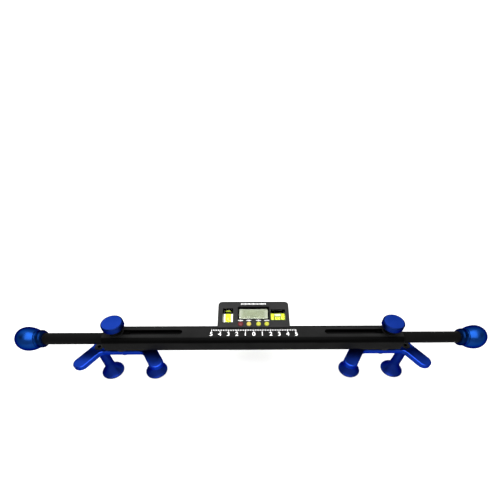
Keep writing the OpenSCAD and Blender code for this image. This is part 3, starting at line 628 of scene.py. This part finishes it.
def handle_profile():
    """Collar, groove, long side, shoulder and end cap, from the socket's floor to the tip."""
    mouth, groove_end, groove_gap = 0.4, 60, 0.6
    collar_r = COLLAR_D / 2
    bore_r = ROD_D / 2 + SEAT
    widest = COLLAR_L + math.sqrt(BACK_R ** 2 - (BACK_R - (HANDLE_D - COLLAR_D) / 2) ** 2)
    off = HANDLE_D / 2 - SHOULDER_R
    back = math.sqrt((CAP_R - SHOULDER_R) ** 2 - off ** 2)
    meet = math.degrees(math.atan2(back, off))
    groove_top = COLLAR_L + NECK_GROOVE_R * math.sin(math.radians(groove_end))
    start = math.degrees(math.asin((groove_top - widest) / BACK_R)) + groove_gap
    line = [(0, SOCKET), (bore_r, SOCKET), (bore_r, mouth), (bore_r + mouth, 0)]
    line += arc((collar_r - COLLAR_ROUND, COLLAR_ROUND), COLLAR_ROUND, -90, 0)
    line += arc((collar_r, COLLAR_L), NECK_GROOVE_R, 270, groove_end, steps=10)
    line += arc((HANDLE_D / 2 - BACK_R, widest), BACK_R, start, 0, steps=16)
    line += arc((off, widest), SHOULDER_R, 0, meet, steps=24)[1:]
    line += arc((0, widest - back), CAP_R, meet, 90)[1:-1]
    return line + [(0, widest - back + CAP_R)]


for name, side in SIDES:
    arm = name + "_arm"
    outward = Matrix.Rotation(math.radians(90 * side), 4, "Y")
    rod = rod_solid()
    if side < 0:
        rod = moved(rod, Matrix.Rotation(math.pi, 4, "Z"))
    piece(name + "_rod_shape", rod, BLACK_ROUND, arm, BAR_AT, [name + "_rod"])
    piece(name + "_handle_shape", lathe(handle_profile(), steps=128), BLUE_TURNED, arm,
          at(side * HANDLE_X, 0, 0) @ outward, [name + "_ball_handle"])


# Knobs, claws and posts

def knob_profile():
    r, top = KNOB_D / 2, DISC_LOW + KNOB_T
    return path((0, DISC_LOW), (r, DISC_LOW, KNOB_EDGE_R), (r, top, KNOB_EDGE_R), (0, top), steps=8)


def claw_outline():
    """Plate with a round end and a slanted finger at each post."""
    s, c = math.sin(math.radians(FINGER_BEND)), math.cos(math.radians(FINGER_BEND))
    post, along, across = Vector((POST_X, 0)), Vector((c, -s)), Vector((s, c))
    half, plate_r = FINGER_W / 2, PLATE_W / 2
    reach = half + CROOK_R
    t = (plate_r + CROOK_R - c * reach) / s
    crook = (POST_X - s * reach + t * c, -plate_r - CROOK_R)
    leave = math.sqrt(plate_r ** 2 - half ** 2)
    tip = post + along * FINGER_L
    edge = across * half + along * leave
    right = arc(crook, CROOK_R, 90, 90 - FINGER_BEND, steps=10)
    right += arc(tip, half, 270 - FINGER_BEND, 450 - FINGER_BEND, steps=28)
    right += arc(post, plate_r, math.degrees(math.atan2(edge.y, edge.x)), 90, steps=20)
    left = [(-x, y) for x, y in reversed(right)]
    return right + left


def flat_head_hole():
    """A post screw's countersunk hole through the plate."""
    mouth = 0.25
    r, head = SCREW_D / 2 + SEAT, SCREW_HEAD_D / 2 + SEAT
    above, land, below = PLATE_TOP + PAST, PLATE_TOP - SCREW_LAND, PLATE_LOW - PAST
    return lathe([(0, above), (head + mouth + PAST, above), (head, PLATE_TOP - mouth), (head, land),
                  (r, land - (head - r)), (r, below), (0, below)], steps=64)


def claw_plate():
    plate = prism(claw_outline(), PLATE_LOW, PLATE_TOP, edge=1.8, edge_low=0.8, steps=8)
    swivel_hole = flared(circle(SWIVEL_D / 2 + SEAT), PLATE_LOW, PLATE_TOP, chamfer=0.4)
    holes = [shifted(flat_head_hole(), k * POST_X, 0, 0) for k in (-1, 1)]
    return carved(plate, swivel_hole, *holes)


def post_profile():
    """A post from the flat under its flare to the top of its neck."""
    straight, edge = 2, 0.3
    neck_r = NECK_D / 2
    join = FLARE_D / 2 - RIM_T / 2
    rise = math.sqrt(FLARE_CURVE_R ** 2 - (FLARE_CURVE_R - join + neck_r) ** 2)
    centre = (neck_r + FLARE_CURVE_R, RIM_T + rise)
    start = math.degrees(math.atan2(-rise, join - centre[0])) % 360
    line = [(0, 0)] + arc((join, RIM_T / 2), RIM_T / 2, -90, 90)
    line += arc(centre, FLARE_CURVE_R, start, 180, steps=24)[1:]
    return line + path((neck_r, POST_L - straight), (neck_r, POST_L, edge), (0, POST_L))


def post_screw():
    """Countersunk head with a hex socket."""
    r, head, edge = SCREW_D / 2, SCREW_HEAD_D / 2, 0.15
    top = PLATE_TOP - SEAT
    land, low = top - SCREW_LAND, top - SCREW_L
    turned = lathe(path((0, low), (r, low), (r, land - head + r), (head, land), (head, top, edge),
                        (0, top)))
    socket = flared(hexagon(HEX_AF), top - SCREW_HEX_DEEP, top, chamfer=0.2, low_too=False)
    return carved(turned, socket)


def swivel_screw():
    """Shoulder and head of the screw that the claw turns on, with a hex socket below."""
    edge_low, edge_top = 0.8, 0.3
    r, head = SWIVEL_D / 2, SWIVEL_HEAD_D / 2
    head_top = PLATE_LOW - FRICTION_T - 2 * SEAT
    low = head_top - SWIVEL_HEAD_H
    turned = lathe(path((0, low), (head, low, edge_low), (head, head_top, edge_top), (r, head_top),
                        (r, -BAR_TOP), (0, -BAR_TOP)))
    socket = shifted(prism(hexagon(HEX_AF), -PAST, HEX_DEEP), 0, 0, low)
    return carved(turned, socket)


for name, side in SIDES:
    clamp, claw, slider = name + "_clamp", name + "_claw", name + "_slider"
    axis_at = at(side * CARRIAGE_X, 0, 0)
    sleeve = ring(SLEEVE_D, STUD_D + 2 * SEAT, SLEEVE_LOW, DISC_LOW - SEAT, edge=0.3)
    washer = ring(WASHER_D, STUD_D + 2 * SEAT, WASHER_LOW, WASHER_LOW + WASHER_T, edge=0.25)
    spacer = ring(SPACER_D, SWIVEL_D + 2 * SEAT, PLATE_TOP + SLIDE, -BAR_TOP - SLIDE, edge=0.4)
    piece(name + "_knob_shape", lathe(knob_profile()), BLUE_KNOB, clamp, axis_at,
          [name + "_knob"])
    piece(name + "_sleeve_shape", sleeve, BLACK_ROUND, clamp, axis_at,
          [name + "_knob_sleeve"])
    piece(name + "_washer_shape", washer, BLACK_PLASTIC, name + "_washer_lift", axis_at,
          [name + "_knob_washer"])
    piece(name + "_plate_shape", claw_plate(), BLUE_PLATE_PAINTED_SHADE, claw, axis_at,
          [name + "_claw_plate"])
    piece(name + "_spacer_shape", spacer, BLACK_PLASTIC, slider, axis_at,
          [name + "_claw_spacer"])
    piece(name + "_swivel_shape", swivel_screw(), BLACK_STEEL, slider, axis_at,
          [name + "_swivel_screw"])
    for which, k in (("outer", 1), ("inner", -1)):
        spot = at(side * (CARRIAGE_X + k * POST_X), 0, 0)
        foot = spot.copy()
        foot.translation.z = 0
        piece(f"{name}_{which}_post_shape", lathe(post_profile()), BLUE_POST_PAINTED_SHADE, claw, foot,
              [f"{name}_{which}_post"])
        screw = piece(f"{name}_{which}_screw_shape", post_screw(), BLACK_STEEL, claw, spot)
        if which == "outer":
            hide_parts(name + "_post_screws")


# Display module

def case_outline():
    """The case's outline, square at the lip and round at the top corners."""
    x, r = CASE_W / 2, CASE_CORNER_R
    return [(-x, 0), (x, 0)] + arc((x - r, CASE_H - r), r, 0, 90) + arc((r - x, CASE_H - r), r, 90, 180)


def face_cut(x, s, outline, low, chamfer):
    """A hole in the face, chamfered where it comes out."""
    return shifted(flared(outline, low, 0, chamfer, low_too=False), x, s, 0)


def bar_space():
    """The bar's space in the module's frame."""
    space = bar_section(BAR_W + 2 * SEAT, BAR_H + 2 * SEAT, BAR_EDGE_R, -CASE_W, CASE_W)
    to_face = Matrix.Translation((0, LIP_Y, LIP_Z)) @ TILT
    return moved(space, to_face.inverted())


def vial_cutters():
    return [face_cut(x, s, rounded_rect(w, h, OPENING_CORNER_R, steps=4), THROUGH_CASE, OPENING_EDGE)
            for x, s, w, h in VIAL_OPENINGS]


def case_screw_cutters():
    head = circle(CASE_SCREW_HEAD_D / 2 + SEAT)
    x, s = CASE_W / 2 - CASE_SCREW_INSET, CASE_H - CASE_SCREW_INSET
    return [face_cut(k * x, s, head, -CASE_SCREW_SINK, chamfer=0.2) for k in (-1, 1)]


def backwards(bm):
    """A cutter for the back of the case, drawn for its front."""
    return shifted(moved(bm, Matrix.Diagonal((1, 1, -1, 1))), 0, 0, -CASE_DEPTH)


front = carved(
    prism(case_outline(), -SPLIT, 0, edge=0.7, edge_low=0.2),
    bar_space(),
    *vial_cutters(),
    face_cut(0, LENS_S, rounded_rect(LENS_W, LENS_H, LENS_CORNER_R, steps=6), THROUGH_CASE, OPENING_EDGE),
    *[face_cut(x, BUTTON_S, circle(d / 2 + BUTTON_GAP), THROUGH_CASE, chamfer=0.25)
      for _, x, d, _ in BUTTONS])
front_case = piece("front_case_shape", front, CASE, "bar_unit", FACE_AT,
                   ["module_front_case"])

rear = carved(
    prism(case_outline(), -CASE_DEPTH, -SPLIT, edge=0.2, edge_low=0.9),
    bar_space(),
    *[backwards(cutter) for cutter in vial_cutters()],
    backwards(face_cut(0, LENS_S, circle(COVER_D / 2 + COVER_GAP), -COVER_ROOM, chamfer=0.3)),
    *[backwards(cutter) for cutter in case_screw_cutters()])
rear_case = piece("rear_case_shape", rear, CASE, "bar_unit", FACE_AT, ["module_rear_case"])


def on_opening(x, s):
    """Whether a point of the face lies in a vial's opening or on its wall."""
    reach = 0.2
    return any(abs(x - mid_x) < w / 2 + reach and abs(s - mid_s) < h / 2 + reach
               for mid_x, mid_s, w, h in VIAL_OPENINGS)


# The walls of the vials' openings are black between their chamfers, as painted shade of the openings
WALL_END = OPENING_EDGE + SEAT
for case in (front_case, rear_case):
    case.data.materials.append(BLACK_FRAME_AND_PAINTED_SHADE)
    for face in case.data.polygons:
        x, s, z = face.center / MM
        if WALL_END - CASE_DEPTH < z < -WALL_END and on_opening(x, s):
            face.material_index = 1

# Display: a black bezel around a pale panel, under a clear window; the bezel's black is partly a real black
# frame and partly painted shade of its recess
DISPLAY_AT = on_face(0, LENS_S - BEZEL_DOWN, 0)
bezel_outer = rounded_rect(LENS_W - 2 * SEAT, LENS_H - 2 * SEAT, LENS_CORNER_R, steps=6)
bezel_inner = rounded_rect(BEZEL_W, BEZEL_H, BEZEL_CORNER_R, steps=6)
bezel_hole = flared(bezel_inner, -FACE_T - PAST, BEZEL_TOP, chamfer=0.4, low_too=False)
bezel = carved(prism(bezel_outer, -FACE_T, BEZEL_TOP, edge=0.2, edge_low=0),
               shifted(bezel_hole, 0, -BEZEL_DOWN, 0))
piece("display_bezel", bezel, BLACK_FRAME_AND_PAINTED_SHADE, "bar_unit", on_face(0, LENS_S, 0))
window_outline = rounded_rect(BEZEL_W + 2 * SEAT, BEZEL_H + 2 * SEAT, BEZEL_CORNER_R, steps=6)
window = prism(window_outline, WINDOW_LOW, WINDOW_TOP, edge=0.15)
piece("display_window", window, WINDOW, "bar_unit", DISPLAY_AT, ["lcd_window"])
panel_outline = rounded_rect(PANEL_W, PANEL_H, PANEL_CORNER_R, steps=4)
panel = prism(panel_outline, PANEL_LOW, -FACE_T - SEAT, edge=0.1)
piece("display_panel", panel, DISPLAY, "bar_unit", DISPLAY_AT, ["lcd_panel"])


# Vials: clear blocks with a tube of yellow spirit

def vial(name, opening, tube_parts):
    x, s, w, h = opening
    outline = rounded_rect(w + VIAL_GROWN, h + VIAL_GROWN, OPENING_CORNER_R, steps=4)
    block = prism(outline, VIAL_RECESS - CASE_DEPTH, -VIAL_RECESS, edge=0.3)
    piece(name + "_block", block, ACRYLIC, "bar_unit", on_face(x, s, 0), [name])
    for part, bm, look in tube_parts:
        piece(f"{name}_{part}", bm, look, "bar_unit", on_face(x, s, -CASE_DEPTH / 2))


def vial_line(side):
    """A dark line around the level vial's tube."""
    line = ring(LINE_D, LINE_INNER_D, -LINE_W / 2, LINE_W / 2, edge=0.05)
    return shifted(moved(line, ALONG_X), side * LINE_X, 0, 0)


plumb_tube = moved(capsule(PLUMB_TUBE_R, PLUMB_H - TUBE_SHORT, TUBE_EDGE, steps=64), UPRIGHT)
level_tube = moved(capsule(LEVEL_TUBE_R, LEVEL_W - TUBE_SHORT, TUBE_EDGE, steps=64), ALONG_X)
bubble = moved(capsule(BUBBLE_R, BUBBLE_L, BUBBLE_EDGE, steps=48), ALONG_X)
bubble = shifted(bubble, 0, BUBBLE_UP, BUBBLE_OUT)
lines = [(f"line_{name}", vial_line(side), RINGS) for name, side in SIDES]
vial("plumb_vial", PLUMB_OPENING, [("spirit", plumb_tube, SPIRIT)])
vial("level_vial", LEVEL_OPENING, [("spirit", level_tube, SPIRIT), ("bubble", bubble, BUBBLE_PAINTED_REFLECTION), *lines])


# Buttons and battery cover

def button(d):
    """A domed button with a flange under the face."""
    edge, edge_angle = 0.1, 3
    r, flange_r = d / 2, d / 2 + FLANGE_W
    dome_h = BUTTON_RISE / 2
    dome_r = (r * r + dome_h * dome_h) / (2 * dome_h)
    start = math.degrees(math.acos(r / dome_r)) + edge_angle
    flange_top = BUTTON_LOW + FLANGE_T
    line = [(0, BUTTON_LOW), (flange_r, BUTTON_LOW), (flange_r, flange_top), (r, flange_top)]
    line += [(r, BUTTON_RISE - dome_h - edge)]
    line += arc((0, BUTTON_RISE - dome_r), dome_r, start, 90, steps=14)[:-1]
    return lathe(line + [(0, BUTTON_RISE)], steps=64)


def battery_cover():
    """A round cover whose outer face is at z 0, with a coin slot in it."""
    edge, edge_top, r = 0.5, 0.2, COVER_D / 2
    disc = lathe(path((0, 0), (r, 0, edge), (r, COVER_T, edge_top), (0, COVER_T)))
    return carved(disc, prism(slot_outline(COIN_L, COIN_W), -PAST, COIN_DEEP))


for name, x, d, slot in BUTTONS:
    piece(name + "_shape", button(d), BUTTON_LOOKS[slot], name, on_face(x, BUTTON_S, 0), [name])
piece("battery_cover_shape", battery_cover(), BLACK_PLASTIC, "battery_cover",
      on_face(0, LENS_S, -CASE_DEPTH), ["battery_cover"])


# Printed scale on the bar

def digit_solid(digit):
    """One digit of the scale, whose height is a share of its font's size."""
    curve = bpy.data.curves.new("digit", "FONT")
    curve.body = digit
    curve.size = DIGIT_H / DIGIT_SHARE
    curve.align_x = "CENTER"
    curve.extrude = PRINT_T / 2
    obj = bpy.data.objects.new("digit", curve)
    bpy.context.scene.collection.objects.link(obj)
    mesh = bpy.data.meshes.new_from_object(obj.evaluated_get(bpy.context.evaluated_depsgraph_get()))
    bm = bmesh.new()
    bm.from_mesh(mesh)
    bpy.data.objects.remove(obj)
    bpy.data.curves.remove(curve)
    bpy.data.meshes.remove(mesh)
    return bm


def merged(parts):
    """All parts in one mesh."""
    whole = bmesh.new()
    for part in parts:
        mesh = bpy.data.meshes.new("part")
        part.to_mesh(mesh)
        part.free()
        whole.from_mesh(mesh)
        bpy.data.meshes.remove(mesh)
    return whole


marks = []
for x in range(-SCALE_HALF, SCALE_HALF + 1, SCALE_STEP):
    numbered = x % SCALE_NUMBERED == 0
    length = TICK_LONG if numbered else TICK_SHORT
    tick = prism(rounded_rect(TICK_W, length, TICK_R, steps=2), 0, PRINT_T)
    marks.append(shifted(tick, x, SCALE_TOP - length / 2, 0))
    if numbered:
        marks.append(shifted(digit_solid(str(abs(x) // SCALE_NUMBERED)), x, DIGIT_Y, PRINT_T / 2))
piece("bar_scale", merged(marks), PRINT, "bar_unit", at(0, 0, BAR_TOP))


# Plain marks on the module's face: signs over the buttons and graduations over the display

def stroke(w, h, x, s):
    return shifted(prism(rounded_rect(w, h, STROKE_R, steps=2), 0, PRINT_T), x, s, 0)


def printed_ring(outer_d, inner_d, x, s):
    return shifted(ring(outer_d, inner_d, 0, PRINT_T, edge=0.01), x, s, 0)


def power_sign(x):
    """A ring with a stroke through its top."""
    inner_d, down, w, h, up = 1.3, 0.1, 0.35, 1.2, 0.7
    return [printed_ring(SIGN_D, inner_d, x, SIGN_S - down), stroke(w, h, x, SIGN_S + up)]


def hold_sign(x):
    """Two upright strokes."""
    w, h, aside = 0.6, 1.9, 0.6
    return [stroke(w, h, x + k * aside, SIGN_S) for k in (-1, 1)]


def zero_sign(x):
    """A plain ring."""
    inner_d = 1.1
    return [printed_ring(SIGN_D, inner_d, x, SIGN_S)]


def units_sign(x):
    """Two small rings, the right one higher."""
    outer_d, inner_d, aside, up = 1.1, 0.5, 0.6, 0.45
    return [printed_ring(outer_d, inner_d, x + k * aside, SIGN_S + k * up) for k in (-1, 1)]


signs = []
for _, x, _, _ in BUTTONS:
    signs += [stroke(DASH_W, DASH_H, x + k * DASH_X, SIGN_S) for k in (-1, 1)]
for sign, (_, x, _, _) in zip((power_sign, hold_sign, zero_sign, units_sign), BUTTONS):
    signs += sign(x)
for x in range(-GRADE_HALF, GRADE_HALF + 1):
    signs.append(stroke(GRADE_W, GRADE_SHORT if x % GRADE_GROUP else GRADE_LONG, x, GRADE_S))
piece("face_marks", merged(signs), PRINT, "bar_unit", FACE_AT)


# Pieces whose CAD shape stays, with better materials
KEPT = {"circuit_board": BOARD, "tilt_sensor": BLACK_PLASTIC, "keypad_membrane": RUBBER, "coin_cell": STEEL,
        "cell_contact": BRASS, "case_screws": BLACK_STEEL, "mount_screws": STEEL}
for name, _ in SIDES:
    KEPT[name + "_guide_screw"] = BLACK_STEEL
    # The carriages' near black is painted shade of the slots they are seen through
    KEPT[name + "_carriage"] = PAINTED_SLOT_SHADE
    KEPT[name + "_friction_washer"] = STEEL
    KEPT[name + "_knob_stud"] = STEEL
for node, look in KEPT.items():
    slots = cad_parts[node].data.materials
    slots.clear()
    slots.append(look)


# Stage, in metres: a pale floor that glows more with the distance from the object
FLOOR_HALF, FLOOR_DROP = 60.0, 0.00005
GLOW, FAR_GLOW, GLOW_FROM, GLOW_TO = 0.37, 0.85, 0.25, 0.9
floor_bm = bmesh.new()
bmesh.ops.create_grid(floor_bm, x_segments=8, y_segments=8, size=FLOOR_HALF)
floor = new_object("floor", floor_bm)
floor.location.z = -FLOOR_DROP
floor_look = Look("floor", Roughness=0.8, Specular_IOR_Level=0.1, Emission_Color=(1, 1, 1, 1))
cloud = floor_look.noise((3, 3, 3))
floor_look.link(floor_look.colours(cloud, (0.3, grey(0.47)), (0.7, grey(0.49))), "Base Color")
away = floor_look.vector_calc("LENGTH", floor_look.coords, output="Value")
floor_look.link(floor_look.spread(away, GLOW, FAR_GLOW, GLOW_FROM, GLOW_TO), "Emission Strength")
floor.data.materials.append(floor_look.mat)

# Sky: white around the horizon, dim above the front, bright above the back and most so on the left
HORIZON, FRONT, BACK_LEFT, BACK_RIGHT = 1.05, 0.08, 2.35, 1.0
SKY_SIDE, SKY_BACK, SKY_LOW, SKY_HIGH = 0.5, 0.3, 0.56, 0.66
world = bpy.data.worlds.new("studio")
world.use_nodes = True
sky = world.node_tree
direction = add_node(sky, "ShaderNodeTexCoord", {}).outputs["Generated"]
toward = add_node(sky, "ShaderNodeSeparateXYZ", {0: direction}).outputs
back = map_range(sky, toward["X"], -SKY_SIDE, SKY_SIDE, BACK_LEFT, BACK_RIGHT)
overhead = map_range(sky, toward["Y"], -SKY_BACK, SKY_BACK, FRONT, back)
strength = map_range(sky, toward["Z"], SKY_LOW, SKY_HIGH, HORIZON, overhead)
sky.links.new(strength, sky.nodes["Background"].inputs["Strength"])
sky.nodes["Background"].inputs["Color"].default_value = (1, 1, 1, 1)
bpy.context.scene.world = world

# Key lamp: a large panel above the front, aimed at the middle of the bar
CENTRE = BAR_AT.translation
KEY_AT, KEY_POWER, KEY_W, KEY_L = Vector((0, -0.22, 0.88)), 23.0, 0.85, 1.15
key_data = bpy.data.lights.new("key", "AREA")
key_data.energy = KEY_POWER
key_data.shape = "RECTANGLE"
key_data.size, key_data.size_y = KEY_W, KEY_L
key = bpy.data.objects.new("key", key_data)
bpy.context.scene.collection.objects.link(key)
key.location = KEY_AT
key.rotation_euler = (CENTRE - KEY_AT).to_track_quat("-Z", "Y").to_euler()

# Camera: fitted to the photograph, whose square frame is IMAGE pixels wide
IMAGE, SENSOR = 500, 36
FOCAL_PX, DISTANCE, DROP = 298.05, 360.68, -0.23
ELEVATION, ROLL, YAW = math.radians(48.99), math.radians(0.77), math.radians(1.36)
CENTRE_PX = (253.7, 338.0)
NEAR, FAR = 0.01, 200
spin = Matrix.Rotation(-YAW, 3, "Z")
ahead = Vector((0, math.cos(ELEVATION), -math.sin(ELEVATION)))
up = Vector((0, math.sin(ELEVATION), math.cos(ELEVATION)))
right = Vector((1, 0, 0))
eye = spin @ (up * DROP - ahead * DISTANCE) * MM + CENTRE
cam_x = spin @ (right * math.cos(ROLL) + up * math.sin(ROLL))
cam_y = spin @ (up * math.cos(ROLL) - right * math.sin(ROLL))
cam_z = spin @ -ahead
camera_data = bpy.data.cameras.new("camera")
camera_data.sensor_width = SENSOR
camera_data.lens = FOCAL_PX / IMAGE * SENSOR
camera_data.shift_x = (IMAGE / 2 - CENTRE_PX[0]) / IMAGE
camera_data.shift_y = (CENTRE_PX[1] - IMAGE / 2) / IMAGE
camera_data.clip_start, camera_data.clip_end = NEAR, FAR
camera = bpy.data.objects.new("camera", camera_data)
bpy.context.scene.collection.objects.link(camera)
camera.matrix_world = Matrix.Translation(eye) @ Matrix((cam_x, cam_y, cam_z)).transposed().to_4x4()
bpy.context.scene.camera = camera
bpy.context.scene.view_settings.view_transform = "Standard"
